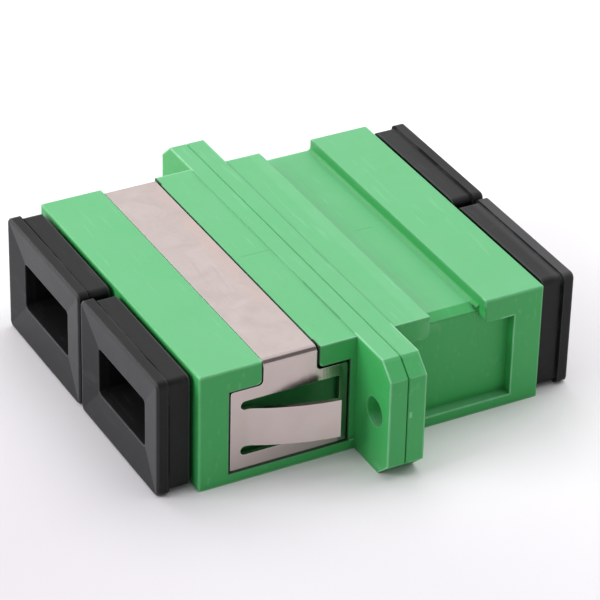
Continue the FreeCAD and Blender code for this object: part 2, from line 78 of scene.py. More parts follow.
def new_material(name):
    material = bpy.data.materials.new(name)
    material.use_nodes = True
    tree = material.node_tree
    return material, tree, tree.nodes["Principled BSDF"]


def feed(tree, socket, source):
    """Links a socket to another node's, or sets it to a plain value."""
    if isinstance(source, bpy.types.NodeSocket):
        tree.links.new(source, socket)
    else:
        socket.default_value = source


def object_place(tree):
    return tree.nodes.new("ShaderNodeTexCoord").outputs["Object"]


def axes_of(tree, vector):
    split = tree.nodes.new("ShaderNodeSeparateXYZ")
    tree.links.new(vector, split.inputs["Vector"])
    return split.outputs


def ramp(tree, source, span, levels, smooth=False):
    """Goes from one level to the other as the source crosses the span."""
    node = tree.nodes.new("ShaderNodeMapRange")
    if smooth:
        node.interpolation_type = "SMOOTHSTEP"
    tree.links.new(source, node.inputs["Value"])
    for name, value in zip(("From Min", "From Max", "To Min", "To Max"), (*span, *levels)):
        feed(tree, node.inputs[name], value)
    return node.outputs["Result"]


def blended(tree, factor, first, second):
    mix = tree.nodes.new("ShaderNodeMix")
    mix.data_type = "RGBA"
    for name, source in (("Factor", factor), ("A", first), ("B", second)):
        feed(tree, mix.inputs[name], source)
    return mix.outputs["Result"]


bpy.ops.mesh.primitive_plane_add(size=TABLE_SIZE, location=(0, 0, 0))
table = bpy.context.active_object
table.name = "table"

table_card, tree, card = new_material("table_card")
card.inputs["Roughness"].default_value = TABLE_ROUGHNESS
card.inputs["Specular IOR Level"].default_value = 0.0
fade_turn = tree.nodes.new("ShaderNodeMapping")
fade_turn.inputs["Rotation"].default_value = (0, 0, FADE_TURN)
tree.links.new(object_place(tree), fade_turn.inputs["Vector"])
# The grey in front of the adapter is painted shade.
shade_falloff = ramp(
    tree, axes_of(tree, fade_turn.outputs["Vector"])["Y"],
    (FADE_GREY_END, FADE_WHITE_END), WHOLE, smooth=True)
tree.links.new(blended(tree, shade_falloff, TABLE_SHADE_GREY, TABLE_WHITE), card.inputs["Base Color"])
table.data.materials.append(table_card)

# ----------------------------------------------------------------- lamps ---
# A broad softbox overhead, a low one that glances along the top from behind,
# and smaller ones in front, at the left and at the rear. Pale walls all round
# fill the shadows and show in the steel.
SOFTBOXES = (  # place and size in mm, power in watts, whether gloss mirrors it
    ("softbox_overhead", (-75, 100, 405), (460, 420), 1.27, False),
    ("softbox_behind", (-335, 184, 238), (300, 200), 0.035, True),
    ("softbox_front_left", (-60, -330, 190), (220, 160), 0.95, True),
    ("softbox_left", (-330, -160, 110), (220, 140), 0.42, True),
    ("softbox_rear", (-90, 350, 150), (240, 160), 0.46, False),
)
LAMP_AIM = Vector((0, 0, 4)) * MM
WALL_WHITE = (0.965, 0.955, 0.975, 1)
WALL_FILL = 0.42
DARK_CORNER = (0.53, 0.41, 0.74)
DARK_CORNER_EDGE = (0.80, 0.93)
DARK_CORNER_LEVEL = 0.19


def maths(tree, operation, first, second=None, clamp=False):
    step = tree.nodes.new("ShaderNodeMath")
    step.operation = operation
    step.use_clamp = clamp
    feed(tree, step.inputs[0], first)
    if second is not None:
        feed(tree, step.inputs[1], second)
    return step.outputs["Value"]


for name, place_mm, size_mm, power, mirrored in SOFTBOXES:
    lamp_data = bpy.data.lights.new(name, "AREA")
    lamp_data.shape = "RECTANGLE"
    lamp_data.size = size_mm[0] * MM
    lamp_data.size_y = size_mm[1] * MM
    lamp_data.energy = power
    lamp = bpy.data.objects.new(name, lamp_data)
    place = Vector(place_mm) * MM
    turn = (LAMP_AIM - place).to_track_quat("-Z", "Y").to_matrix().to_4x4()
    lamp.matrix_world = Matrix.Translation(place) @ turn
    lamp.visible_glossy = mirrored
    bpy.context.scene.collection.objects.link(lamp)

walls = bpy.data.worlds.new("pale_walls")
walls.use_nodes = True
tree = walls.node_tree
wall_glow = tree.nodes["Background"]
wall_glow.inputs["Color"].default_value = WALL_WHITE
ray = tree.nodes.new("ShaderNodeLightPath").outputs
seen = maths(tree, "MAXIMUM", ray["Is Camera Ray"], ray["Is Glossy Ray"])
seen = maths(tree, "MAXIMUM", seen, ray["Is Transmission Ray"])

# The corner of the room above and beyond the far right is dark, and it shows
# as a dark band where the steel bends.
look = tree.nodes.new("ShaderNodeTexCoord").outputs["Generated"]
towards_dark = tree.nodes.new("ShaderNodeVectorMath")
towards_dark.operation = "DOT_PRODUCT"
towards_dark.inputs[1].default_value = DARK_CORNER
tree.links.new(look, towards_dark.inputs[0])
mirrored_level = ramp(
    tree, towards_dark.outputs["Value"], DARK_CORNER_EDGE, (1.0, DARK_CORNER_LEVEL), smooth=True)
shown_level = maths(tree, "MAXIMUM", ray["Is Camera Ray"], mirrored_level)
wall_level = ramp(tree, seen, WHOLE, (WALL_FILL, shown_level))
tree.links.new(wall_level, wall_glow.inputs["Strength"])
bpy.context.scene.world = walls

# --------------------------------------------------------------- housing ---
# The two housing halves are injection moulded in green PBT, with a fine
# sparked texture. Their flanges are welded face to face, and the edges of
# the flanges, necks and mouths are slightly pale, partly from handling and
# partly as a painted highlight.
GREEN = (0.045, 0.378, 0.096, 1)
GREEN_PALE = (0.38, 0.77, 0.48, 1)
GREEN_DEEP = (0.026, 0.300, 0.065, 1)
GREEN_DUST_AND_SHEEN = (0.62, 0.78, 0.80, 1)
GREEN_SEAM_AND_SHADE = (0.010, 0.13, 0.028, 1)
GREEN_BED_SHADE = (0.003, 0.022, 0.007, 1)

# Finishes of the moulding: roughness from the deep to the plain colour, depth
# of the texture, and how strongly each effect shows.
GREEN_ROUGHNESS = (0.36, 0.52)
GREEN_RELIEF = (0.55, 0.03 * MM)
GREEN_GRAIN = 0.35
GREEN_EVENNESS = 0.72
SCUFF_STRENGTH = 0.10
SPECK_STRENGTH = 0.18
WEAR_AND_HIGHLIGHT_STRENGTH = 0.75
DUST_AND_SHEEN_STRENGTH = 0.14
CORNER_SHADE_STRENGTH = 0.85
BEVEL_HIGHLIGHT_STRENGTH = 0.12
MARK_STRENGTH = 0.75
MARK_DEPTH = 0.45
FLASH_STRENGTH = 0.4
SHOULDER_DARKENING = 0.65
SHOULDER_ROUGHNESS = 0.3

# Places on the housing: the middle and half size of a box, and how far it
# fades beyond it, all in mm.
WELD_LINE = ((0, 0, 4.7), (20, 0.02, 8), 0.05)
WELD_BAND = ((0, 0, 4.7), (20, 0.16, 8), 0.04)
WELD_FLASH = ((17.8, 0.26, 5.15), (0.3, 0.03, 0.16), 0.14)
TOP_SKIN = ((0, 0, 9.37), (20, 20, 0.14), 0.03)
NEAR_NECK_SHOULDER = ((11.8, 6.6, 8.4), (0.5, 2.25, 0.3), 0.05)
REAR_CHANNEL = ((0, 6.62, 8.45), (14, 2.2, 0.1), 0.08)
REAR_CHANNEL_UNSHADED = 0.85
MARK_FADE = 0.06
TOOL_AND_SHADE_MARKS = (
    ((7.8, -1.42, 9.0), (2.8, 0.012, 1.0)),
    ((2.4, 1.36, 9.0), (1.2, 0.012, 1.0)),
    ((0.0, -2.7, 9.0), (0.012, 1.1, 1.0)),
    ((-0.85, 6.8, 8.6), (0.012, 0.6, 0.6)),
    # painted shade in the crease at the rear channel's corner
    ((12.9, 8.96, 8.1), (0.4, 0.02, 0.6)),
)
PLAIN_CORNER_FADE = 0.2
PLAIN_CORNER_LOSS = 0.85
PLAIN_CORNERS = (  # the neck's side, the channel's corner, the ear's hole, the top
    ((12.6, 3.0, 7.6), (1.2, 1.5, 1.6)),
    ((12.7, 9.4, 8.0), (1.0, 0.7, 0.8)),
    ((15.75, 0.0, 4.7), (1.25, 2.0, 1.25)),
    ((0.0, 0.0, 9.0), (12.5, 15.0, 0.7)),
)
CLIP_BED_X = 12.6
CLIP_BEDS = (  # middle and half size along the adapter, then upwards
    (-6.65, 4.7, 4.2, 3.35),
    (-6.625, 2.225, 8.6, 0.7),
)
CHANNEL_TINTS = (  # place, strength and colour
    (((0, -8.8, 8.85), (12.9, 0.2, 0.43), 0.03), 0.8, GREEN_PALE),  # by the front mouths
    (((0, 4.6, 8.45), (14, 0.3, 0.1), 1.1), 0.17, GREEN_PALE),  # foot of the flange
    (((0, 8.72, 8.94), (14, 0.16, 0.45), 0.04), 0.26, GREEN_SEAM_AND_SHADE),  # by the rear mouths
    (((0, -4.47, 8.9), (13, 0.07, 0.5), 0.03), 0.45, GREEN_BED_SHADE),  # beside the clip
)


def new_group(name, inputs, outputs, vector_outputs=()):
    group = bpy.data.node_groups.new(name, "ShaderNodeTree")
    for label, value in inputs.items():
        socket_type = "NodeSocketVector" if isinstance(value, tuple) else "NodeSocketFloat"
        socket = group.interface.new_socket(
            name=label, in_out="INPUT", socket_type=socket_type)
        socket.default_value = value
    for labels, socket_type in (
            (outputs, "NodeSocketFloat"), (vector_outputs, "NodeSocketVector")):
        for label in labels:
            group.interface.new_socket(name=label, in_out="OUTPUT", socket_type=socket_type)
    given = group.nodes.new("NodeGroupInput").outputs
    result = group.nodes.new("NodeGroupOutput").inputs
    return group, given, result


def noise(tree, vector, scale, detail=2.0, roughness=0.5, distortion=0.0):
    node = tree.nodes.new("ShaderNodeTexNoise")
    tree.links.new(vector, node.inputs["Vector"])
    for name, value in (
            ("Scale", scale), ("Detail", detail),
            ("Roughness", roughness), ("Distortion", distortion)):
        feed(tree, node.inputs[name], value)
    return node.outputs["Fac"]


def stretched_place(tree, scale, turn=(0, 0, 0)):
    """The place on the object, squeezed so that a noise on it draws into lines."""
    mapping = tree.nodes.new("ShaderNodeMapping")
    mapping.inputs["Scale"].default_value = scale
    mapping.inputs["Rotation"].default_value = turn
    tree.links.new(object_place(tree), mapping.inputs["Vector"])
    return mapping.outputs["Vector"]


# Edge masks: the first output is one on outward corners, where the wall behind
# the surface is thin, broken up by a noise; the materials use it for wear and for
# a painted highlight. "Cavity" is one deep in gaps and inward corners. "Soft
# Normal" rounds the corners over a short reach.
CORNER_GAIN = 3.2
WEAR_PATCH_SCALE = 900.0
CAVITY_START = 0.75
CAVITY_GAIN = 1.5
OCCLUSION_SAMPLES = 10
ROUNDING_SAMPLES = 6

edge_masks, given, result = new_group(
    "edge_masks", {"Reach": 0.12 * MM, "Break Up": 0.5, "Cavity Reach": 0.8 * MM},
    ("Wear And Highlight", "Cavity"), ("Soft Normal",))
rounded = edge_masks.nodes.new("ShaderNodeBevel")
rounded.samples = ROUNDING_SAMPLES
behind = edge_masks.nodes.new("ShaderNodeAmbientOcclusion")
behind.inside = True
behind.only_local = True
behind.samples = OCCLUSION_SAMPLES
ahead = edge_masks.nodes.new("ShaderNodeAmbientOcclusion")
ahead.samples = OCCLUSION_SAMPLES
feed(edge_masks, rounded.inputs["Radius"], given["Reach"])
feed(edge_masks, behind.inputs["Distance"], given["Reach"])
feed(edge_masks, ahead.inputs["Distance"], given["Cavity Reach"])
cornered = maths(edge_masks, "SUBTRACT", 1.0, behind.outputs["AO"])
cornered = maths(edge_masks, "MULTIPLY", cornered, CORNER_GAIN, clamp=True)
patches = noise(edge_masks, object_place(edge_masks), WEAR_PATCH_SCALE, detail=3.0)
broken = maths(edge_masks, "MULTIPLY", patches, given["Break Up"])
kept = maths(edge_masks, "SUBTRACT", 1.0, broken)
hollow_shade = maths(edge_masks, "SUBTRACT", CAVITY_START, ahead.outputs["AO"], clamp=True)
feed(edge_masks, result["Wear And Highlight"], maths(edge_masks, "MULTIPLY", cornered, kept, clamp=True))
feed(edge_masks, result["Cavity"], maths(edge_masks, "MULTIPLY", hollow_shade, CAVITY_GAIN, clamp=True))
feed(edge_masks, result["Soft Normal"], rounded.outputs["Normal"])

# Mould texture: the fine sparked grain of the tool, slow shade changes left by
# the flow of the plastic, and a sparse scatter of specks and scuffs.
SCUFF_SQUEEZE = (250, 2600, 1200)
SCUFF_TURN = (0.2, 0.1, 0.7)
SCUFF_START = 0.62
SCUFF_GAIN = 7.0
SPECK_SCALE = 620.0
SPECK_SIZE = 0.09
SPECK_GAIN = 14.0

mould_texture, given, result = new_group(
    "mould_texture", {"Grain Scale": 5200.0, "Flow Scale": 160.0},
    ("Grain", "Flow", "Scuffs", "Specks"))
place = object_place(mould_texture)
grain = noise(mould_texture, place, given["Grain Scale"], detail=4.0, roughness=0.6)
flow = noise(
    mould_texture, place, given["Flow Scale"], detail=5.0, roughness=0.62, distortion=0.7)
scratch = noise(mould_texture, stretched_place(mould_texture, SCUFF_SQUEEZE, SCUFF_TURN), 1.0)
scuffed = maths(mould_texture, "SUBTRACT", scratch, SCUFF_START, clamp=True)
scuffed = maths(mould_texture, "MULTIPLY", scuffed, SCUFF_GAIN, clamp=True)
specks = mould_texture.nodes.new("ShaderNodeTexVoronoi")
specks.inputs["Scale"].default_value = SPECK_SCALE
feed(mould_texture, specks.inputs["Vector"], place)
speck = maths(mould_texture, "SUBTRACT", SPECK_SIZE, specks.outputs["Distance"], clamp=True)
speck = maths(mould_texture, "MULTIPLY", speck, SPECK_GAIN, clamp=True)
for name, pattern in (("Grain", grain), ("Flow", flow), ("Scuffs", scuffed), ("Specks", speck)):
    feed(mould_texture, result[name], pattern)

# A place on a piece: "Inside" is one within a box round its centre, and fades
# to nothing over the softness outside it.
place_box, given, result = new_group(
    "place_box", {"Centre": (0, 0, 0), "Half Size": (1, 1, 1), "Softness": 0.05 * MM},
    ("Inside",))
away = place_box.nodes.new("ShaderNodeVectorMath")
away.operation = "SUBTRACT"
feed(place_box, away.inputs[0], object_place(place_box))
feed(place_box, away.inputs[1], given["Centre"])
reached = place_box.nodes.new("ShaderNodeVectorMath")
reached.operation = "ABSOLUTE"
feed(place_box, reached.inputs[0], away.outputs["Vector"])
over = place_box.nodes.new("ShaderNodeVectorMath")
over.operation = "SUBTRACT"
feed(place_box, over.inputs[0], reached.outputs["Vector"])
feed(place_box, over.inputs[1], given["Half Size"])
over_axes = axes_of(place_box, over.outputs["Vector"])
furthest = maths(place_box, "MAXIMUM", over_axes["X"], over_axes["Y"])
furthest = maths(place_box, "MAXIMUM", furthest, over_axes["Z"])
past = maths(place_box, "DIVIDE", furthest, given["Softness"], clamp=True)
feed(place_box, result["Inside"], maths(place_box, "SUBTRACT", 1.0, past))

# A pale film on what faces up, thicker in patches: partly settled dust, partly
# a painted sheen on the tops.
FILM_SLOPE = (0.55, 1.0)
FILM_PATCHES = (0.2, 0.8)
FILM_THINNEST = 0.7

dust_and_sheen_film, given, result = new_group(
    "dust_and_sheen_film", {"Patch Scale": 240.0}, ("Dust", "Facing Up"))
lie = axes_of(dust_and_sheen_film, dust_and_sheen_film.nodes.new("ShaderNodeNewGeometry").outputs["Normal"])
upward = ramp(dust_and_sheen_film, lie["Z"], FILM_SLOPE, WHOLE, smooth=True)
film_patches = noise(
    dust_and_sheen_film, object_place(dust_and_sheen_film), given["Patch Scale"], detail=6.0, roughness=0.65)
thickness = ramp(dust_and_sheen_film, film_patches, FILM_PATCHES, (FILM_THINNEST, 1.0))
feed(dust_and_sheen_film, result["Dust"], maths(dust_and_sheen_film, "MULTIPLY", upward, thickness))
feed(dust_and_sheen_film, result["Facing Up"], upward)


def placed_group(tree, group, **values):
    node = tree.nodes.new("ShaderNodeGroup")
    node.node_tree = group
    for name, value in values.items():
        node.inputs[name.replace("_", " ")].default_value = value
    return node.outputs


def at_place(tree, middle_mm, half_mm, fade_mm):
    return placed_group(
        tree, place_box, Centre=tuple(c * MM for c in middle_mm),
        Half_Size=tuple(h * MM for h in half_mm), Softness=fade_mm * MM)["Inside"]


def tinted(tree, tone, mask, strength, colour):
    """Lays a colour over the tone where the mask is one."""
    return blended(tree, maths(tree, "MULTIPLY", mask, strength), tone, colour)


def mottled(tree, pattern, deep, plain, evenness):
    """The plain colour, drifting a little towards the deep one."""
    return blended(tree, evenness, blended(tree, pattern, deep, plain), plain)


def pressed(tree, shader, height, strength, depth, normal=None):
    """Presses a texture into the surface, over its rounded corners."""
    relief = tree.nodes.new("ShaderNodeBump")
    relief.inputs["Strength"].default_value = strength
    relief.inputs["Distance"].default_value = depth
    feed(tree, relief.inputs["Height"], height)
    if normal is not None:
        feed(tree, relief.inputs["Normal"], normal)
    feed(tree, shader.inputs["Normal"], relief.outputs["Normal"])


green_plastic, tree, shell = new_material("green_plastic")
shell.inputs["IOR"].default_value = 1.5
shell.inputs["Specular IOR Level"].default_value = 0.38
texture = placed_group(tree, mould_texture, Grain_Scale=5200.0, Flow_Scale=170.0)
edges = placed_group(tree, edge_masks, Reach=0.15 * MM, Break_Up=0.65)
dust_and_sheen = placed_group(tree, dust_and_sheen_film, Patch_Scale=260.0)

# The weld line goes round the flange where the two halves meet. On top it is
# smeared flat, so that a little shows at the near end and none at the far end.
NEAR_TO_FAR = (14 * MM, -12 * MM)
SMEARED = (0.72, 1.0)

weld = at_place(tree, *WELD_LINE)
on_top = at_place(tree, *TOP_SKIN)
across = axes_of(tree, object_place(tree))["X"]
smoothed = maths(tree, "MULTIPLY", on_top, ramp(tree, across, NEAR_TO_FAR, SMEARED))
shown = maths(tree, "SUBTRACT", 1.0, smoothed, clamp=True)
marks = maths(tree, "MULTIPLY", weld, shown)
marks = maths(tree, "MULTIPLY", marks, shown)

# The tool's inserts and gates leave fine marks on the top and in the rear
# channel. One line, in the crease at the near corner of the rear channel's end,
# is painted shade.
for middle, half_size in TOOL_AND_SHADE_MARKS:
    mark = at_place(tree, middle, half_size, MARK_FADE)
    marks = maths(tree, "MAXIMUM", marks, maths(tree, "MULTIPLY", mark, MARK_DEPTH))

tone = mottled(tree, texture["Flow"], GREEN_DEEP, GREEN, GREEN_EVENNESS)
tone = tinted(tree, tone, texture["Scuffs"], SCUFF_STRENGTH, GREEN_PALE)

# The corners are painted pale, partly as wear from handling and partly as a
# painted highlight, least beside the weld and not at all in the listed places.
unwelded = maths(tree, "SUBTRACT", 1.0, at_place(tree, *WELD_BAND))
worn_and_lit = maths(tree, "MULTIPLY", edges["Wear And Highlight"], unwelded)
worn_and_lit = maths(tree, "MULTIPLY", worn_and_lit, WEAR_AND_HIGHLIGHT_STRENGTH)
for middle, half_size in PLAIN_CORNERS:
    plain_corner = at_place(tree, middle, half_size, PLAIN_CORNER_FADE)
    rubbed = maths(tree, "ADD", maths(tree, "MULTIPLY", plain_corner, -PLAIN_CORNER_LOSS), 1.0)
    worn_and_lit = maths(tree, "MULTIPLY", worn_and_lit, rubbed)
tone = blended(tree, worn_and_lit, tone, GREEN_PALE)
tone = tinted(tree, tone, texture["Specks"], SPECK_STRENGTH, GREEN_SEAM_AND_SHADE)
# Pale film on the upward faces: dust, with a painted sheen on the tops.
tone = tinted(tree, tone, dust_and_sheen["Dust"], DUST_AND_SHEEN_STRENGTH, GREEN_DUST_AND_SHEEN)

# Painted shade darkens the inward corners, but not the open floor of the rear
# channel. A painted highlight lies on the bevels along the top.
open_floor = maths(tree, "MULTIPLY", at_place(tree, *REAR_CHANNEL), REAR_CHANNEL_UNSHADED)
open_floor = maths(tree, "SUBTRACT", 1.0, open_floor)
hollow_shade = maths(tree, "MULTIPLY", edges["Cavity"], shown)
hollow_shade = maths(tree, "MULTIPLY", hollow_shade, open_floor)
tone = tinted(tree, tone, hollow_shade, CORNER_SHADE_STRENGTH, GREEN_SEAM_AND_SHADE)
upright = maths(tree, "SUBTRACT", 1.0, dust_and_sheen["Facing Up"])
upright = maths(tree, "MULTIPLY", upright, smoothed)
tone = tinted(tree, tone, upright, BEVEL_HIGHLIGHT_STRENGTH, GREEN_PALE)

# Painted shade darkens the clip's beds, darkest in the gap all round the clip.
BED_DEPTH = 0.7
BED_GAP = (0.07, 0.06)
BED_GAP_FADE = 0.03
BED_INSET = 0.5
BED_INSET_FADE = 0.35
BED_SHADE = 0.9
BED_SHADE_EASED = 0.45

for side in (CLIP_BED_X, -CLIP_BED_X):
    for middle_y, half_y, middle_z, half_z in CLIP_BEDS:
        middle = (side, middle_y, middle_z)
        outer_half = (BED_DEPTH, half_y + BED_GAP[0], half_z + BED_GAP[1])
        inner_half = (BED_DEPTH, half_y - BED_INSET, half_z - BED_INSET)
        outer = at_place(tree, middle, outer_half, BED_GAP_FADE)
        inner = at_place(tree, middle, inner_half, BED_INSET_FADE)
        shade = maths(tree, "MULTIPLY", inner, BED_SHADE_EASED)
        shade = maths(tree, "SUBTRACT", BED_SHADE, shade)
        shade = maths(tree, "MULTIPLY", outer, shade)
        tone = blended(tree, shade, tone, GREEN_BED_SHADE)

# The walls of the two channels catch the light or lie in shade, and the marks
# and a flake of weld flash go over everything.
for channel_place, strength, colour in CHANNEL_TINTS:
    tone = tinted(tree, tone, at_place(tree, *channel_place), strength, colour)
tone = tinted(tree, tone, marks, MARK_STRENGTH, GREEN_SEAM_AND_SHADE)
tone = tinted(tree, tone, at_place(tree, *WELD_FLASH), FLASH_STRENGTH, GREEN_PALE)

# The trimmed shoulder on the near side of the rear neck is painted darker and
# made duller than the skin round it.
shoulder = at_place(tree, *NEAR_NECK_SHOULDER)
tone = tinted(tree, tone, shoulder, SHOULDER_DARKENING, GREEN_DEEP)
feed(tree, shell.inputs["Base Color"], tone)
gloss = ramp(tree, texture["Flow"], WHOLE, GREEN_ROUGHNESS)
dulled = maths(tree, "MULTIPLY", shoulder, SHOULDER_ROUGHNESS)
feed(tree, shell.inputs["Roughness"], maths(tree, "ADD", gloss, dulled))
height = maths(tree, "MULTIPLY", texture["Grain"], GREEN_GRAIN)
height = maths(tree, "SUBTRACT", height, marks)
pressed(tree, shell, height, *GREEN_RELIEF, edges["Soft Normal"])

for name in ("front_housing", "rear_housing"):
    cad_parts[name].material_slots[0].material = green_plastic

# ------------------------------------------------------------ panel clip ---
# The panel clip is one strip of spring steel, rolled 0.35 mm thick, blanked and
# folded over the front half. Sprung tongues in its legs hold the adapter in its
# panel. Rolling left fine lines along the strip.
STEEL = (0.595, 0.515, 0.49, 1)
STEEL_SHADE = (0.47, 0.40, 0.375, 1)
STEEL_EDGE = (0.84, 0.82, 0.80, 1)
STEEL_PINK = (0.62, 0.465, 0.42, 1)
STEEL_EDGE_SHADE = (0.03, 0.035, 0.03, 1)
STEEL_EAR_REFLECTION = (0.06, 0.20, 0.09, 1)
STEEL_ROUGHNESS = (0.13, 0.27)
STEEL_RELIEF = (0.35, 0.012 * MM)
STEEL_EVENNESS = 0.45
STEEL_CLOUDS = (0.3, 0.7)
SIDE_SHADE = 0.55
SIDE_SHARPNESS = 4.0
RUBBED_SHADE = 0.7
HEAT_STRENGTH = 0.8
STEEL_WEAR_AND_HIGHLIGHT = 0.6
EDGE_SHADE_STRENGTH = 0.9
EAR_REFLECTION_STRENGTH = 0.7
STEEL_SPECKS = 0.25
CUT_EDGE_ROUGHNESS = 0.6
EDGEWISE_LIMIT = 0.3
FORWARD_LIMIT = -0.7
ROLLING_SQUEEZE = (260, 9000, 260)
RUBBED_PATCH = ((1.5, -6.4, 9.3), (2.4, 0.5, 0.3), 1.6)
HEATED_PATCH = ((-3, -5.0, 9.3), (9, 0.15, 0.3), 0.9)
LEG_BESIDE_EAR = ((12.9, -2.38, 4.2), (0.4, 0.32, 3.6), 0.08)
BELOW_BEND_Z = 8.8 * MM
ABOVE_BEND_Z = 8.85 * MM
NECK_Z = 7.2 * MM
LEG_END_Y = -11.1 * MM

spring_steel, tree, strip = new_material("spring_steel")
strip.inputs["Metallic"].default_value = 1.0
texture = placed_group(tree, mould_texture, Grain_Scale=2600.0, Flow_Scale=420.0)
edges = placed_group(tree, edge_masks, Reach=0.05 * MM, Break_Up=0.5)
place = axes_of(tree, object_place(tree))
lie = axes_of(tree, tree.nodes.new("ShaderNodeNewGeometry").outputs["Normal"])
rolled = noise(tree, stretched_place(tree, ROLLING_SQUEEZE), 1.0, detail=4.0)
cloud = ramp(tree, texture["Flow"], STEEL_CLOUDS, WHOLE)
facing_side = maths(tree, "ABSOLUTE", lie["X"])
sideways = maths(tree, "POWER", facing_side, SIDE_SHARPNESS)
tone = mottled(tree, cloud, STEEL_SHADE, STEEL, STEEL_EVENNESS)
# The sideways faces of the legs get painted shade.
tone = tinted(tree, tone, sideways, SIDE_SHADE, STEEL_SHADE)
rubbed = maths(tree, "MULTIPLY", at_place(tree, *RUBBED_PATCH), texture["Scuffs"])
tone = tinted(tree, tone, rubbed, RUBBED_SHADE, STEEL_SHADE)
heated = maths(tree, "MULTIPLY", at_place(tree, *HEATED_PATCH), cloud)
tone = tinted(tree, tone, heated, HEAT_STRENGTH, STEEL_PINK)
# Outward corners are lighter, partly with wear and partly as a painted highlight.
tone = tinted(tree, tone, edges["Wear And Highlight"], STEEL_WEAR_AND_HIGHLIGHT, STEEL_EDGE)

# The blanked edges round the legs are darkened with painted shade, and the
# strip of leg beside the ear carries a painted green reflection of the ear.
edgewise = maths(tree, "LESS_THAN", facing_side, EDGEWISE_LIMIT)
below_bend = maths(tree, "LESS_THAN", place["Z"], BELOW_BEND_Z)
edgewise = maths(tree, "MULTIPLY", edgewise, below_bend)
high = maths(tree, "GREATER_THAN", place["Z"], NECK_Z)
outer_end = maths(tree, "LESS_THAN", place["Y"], LEG_END_Y)
edgewise = maths(tree, "MULTIPLY", edgewise, maths(tree, "MAXIMUM", high, outer_end))
tone = tinted(tree, tone, edgewise, EDGE_SHADE_STRENGTH, STEEL_EDGE_SHADE)
tone = tinted(tree, tone, at_place(tree, *LEG_BESIDE_EAR), EAR_REFLECTION_STRENGTH, STEEL_EAR_REFLECTION)
tone = tinted(tree, tone, texture["Specks"], STEEL_SPECKS, STEEL_SHADE)

# The strip's cut edge at the front is rough, and lightened with a painted highlight.
cut_edge = maths(tree, "LESS_THAN", lie["Y"], FORWARD_LIMIT)
above_bend = maths(tree, "GREATER_THAN", place["Z"], ABOVE_BEND_Z)
cut_edge = maths(tree, "MULTIPLY", cut_edge, above_bend)
tone = blended(tree, cut_edge, tone, STEEL_EDGE)
feed(tree, strip.inputs["Base Color"], tone)
gloss = ramp(tree, rolled, WHOLE, STEEL_ROUGHNESS)
torn = maths(tree, "MULTIPLY", cut_edge, CUT_EDGE_ROUGHNESS)
feed(tree, strip.inputs["Roughness"], maths(tree, "ADD", gloss, torn))
height = maths(tree, "ADD", rolled, texture["Grain"])
pressed(tree, strip, height, *STEEL_RELIEF, edges["Soft Normal"])

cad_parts["panel_clip"].material_slots[0].material = spring_steel

# --------------------------------------------------------- latch inserts ---
# The latch inserts are moulded in natural PBT, a milky plastic that lets a
# little light through. Each is pressed into its port from the weld side and
# holds one end of the sleeve between two latch arms.
NATURAL = (0.80, 0.77, 0.68, 1)
NATURAL_DEEP = (0.66, 0.61, 0.50, 1)
NATURAL_PALE = (0.88, 0.86, 0.80, 1)
NATURAL_ROUGHNESS = (0.34, 0.5)
NATURAL_RELIEF = (0.3, 0.02 * MM)
NATURAL_EVENNESS = 0.5
NATURAL_WEAR = 0.4

natural_plastic, tree, insert = new_material("natural_plastic")
insert.inputs["IOR"].default_value = 1.5
insert.inputs["Subsurface Weight"].default_value = 0.15
insert.inputs["Subsurface Scale"].default_value = 0.6 * MM
texture = placed_group(tree, mould_texture, Grain_Scale=4200.0, Flow_Scale=260.0)
edges = placed_group(tree, edge_masks, Reach=0.08 * MM, Break_Up=0.5)
tone = mottled(tree, texture["Flow"], NATURAL_DEEP, NATURAL, NATURAL_EVENNESS)
tone = tinted(tree, tone, edges["Wear And Highlight"], NATURAL_WEAR, NATURAL_PALE)
feed(tree, insert.inputs["Base Color"], tone)
feed(tree, insert.inputs["Roughness"], ramp(tree, texture["Flow"], WHOLE, NATURAL_ROUGHNESS))
pressed(tree, insert, texture["Grain"], *NATURAL_RELIEF, edges["Soft Normal"])

for end in ("front", "rear"):
    for side in ("left", "right"):
        latch_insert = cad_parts[f"latch_insert_{end}_{side}"]
        latch_insert.material_slots[0].material = natural_plastic

# ----------------------------------------------------- alignment sleeves ---
# The split sleeves that line the two fibres up are ground zirconia, a hard
# white ceramic with a fine ground sheen. They float inside the insert tubes.
CERAMIC = (0.86, 0.86, 0.84, 1)
CERAMIC_SHADE = (0.74, 0.745, 0.74, 1)
CERAMIC_ROUGHNESS = (0.16, 0.30)
CERAMIC_RELIEF = (0.2, 0.006 * MM)
GRINDING_SQUEEZE = (300, 12000, 300)

zirconia, tree, sleeve = new_material("zirconia")
sleeve.inputs["IOR"].default_value = 2.1
texture = placed_group(tree, mould_texture, Grain_Scale=9000.0, Flow_Scale=300.0)
ground = noise(tree, stretched_place(tree, GRINDING_SQUEEZE), 1.0)
tone = blended(tree, texture["Flow"], CERAMIC_SHADE, CERAMIC)
feed(tree, sleeve.inputs["Base Color"], tone)
feed(tree, sleeve.inputs["Roughness"], ramp(tree, ground, WHOLE, CERAMIC_ROUGHNESS))
pressed(tree, sleeve, ground, *CERAMIC_RELIEF)

for side in ("left", "right"):
    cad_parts[f"alignment_sleeve_{side}"].material_slots[0].material = zirconia

